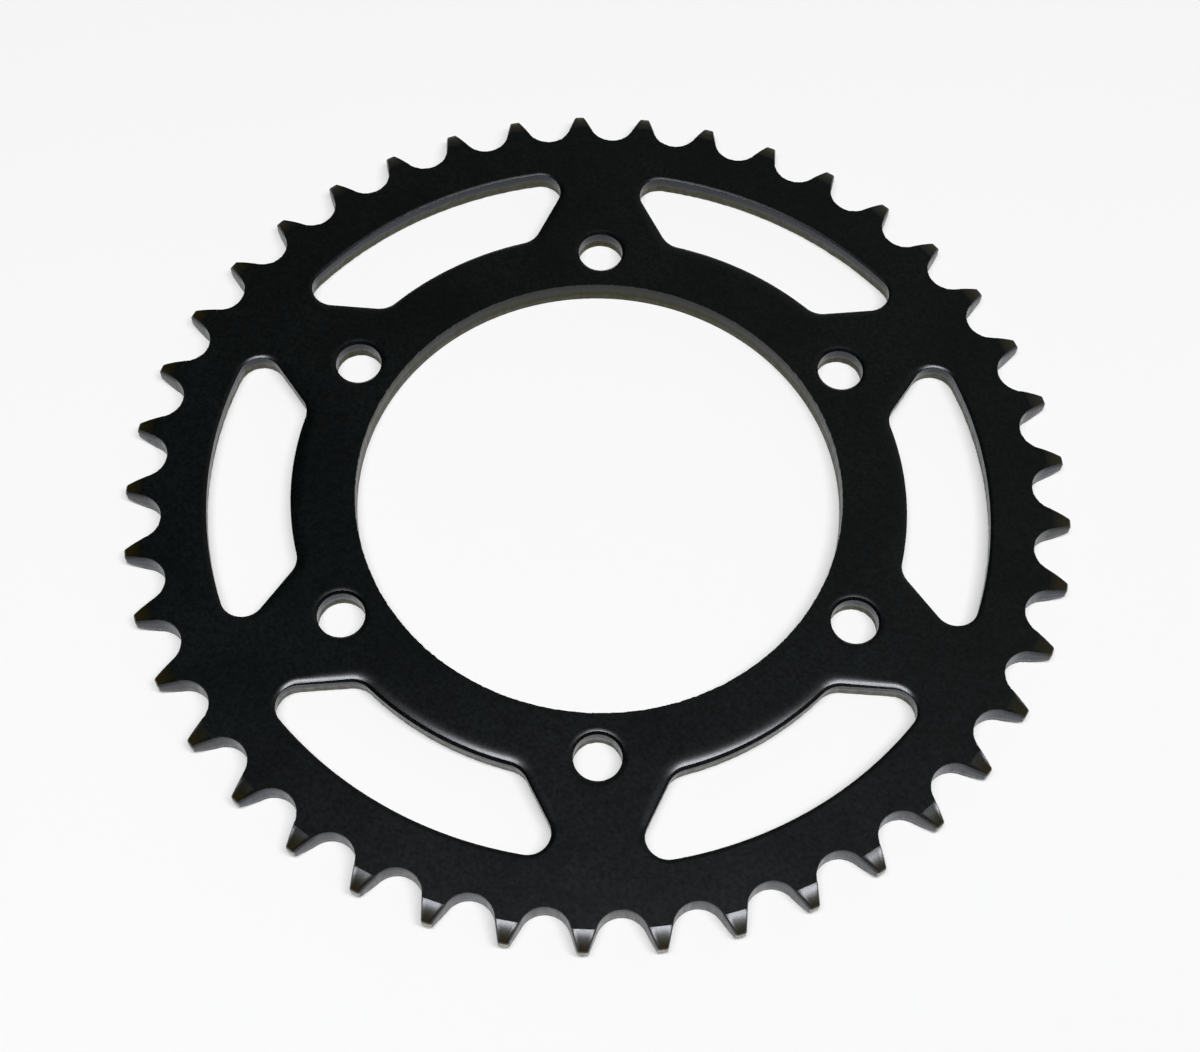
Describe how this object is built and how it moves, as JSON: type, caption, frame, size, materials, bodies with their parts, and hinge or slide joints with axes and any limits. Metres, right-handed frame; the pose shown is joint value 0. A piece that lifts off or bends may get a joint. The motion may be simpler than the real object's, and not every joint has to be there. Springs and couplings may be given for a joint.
{
  "type": "rear sprocket",
  "caption": "Flat toothed steel ring that drives a motorcycle's rear wheel from the chain, with a wide hub bore, a ring of bolt holes and arc-shaped lightening windows.",
  "frame": {"origin": "centre of the hub bore, on the back face that sits against the hub", "axes": "+Z along the turning axis, out of the punched front face; +X through the bolt hole that has a tooth straight outside it"},
  "size_m": [0.2135, 0.2136, 0.0058],
  "materials": {
    "black_paint": "satin"
  },
  "bodies": {
    "root": {"sprocket_plate": "black_paint"}
  },
  "joints": []
}
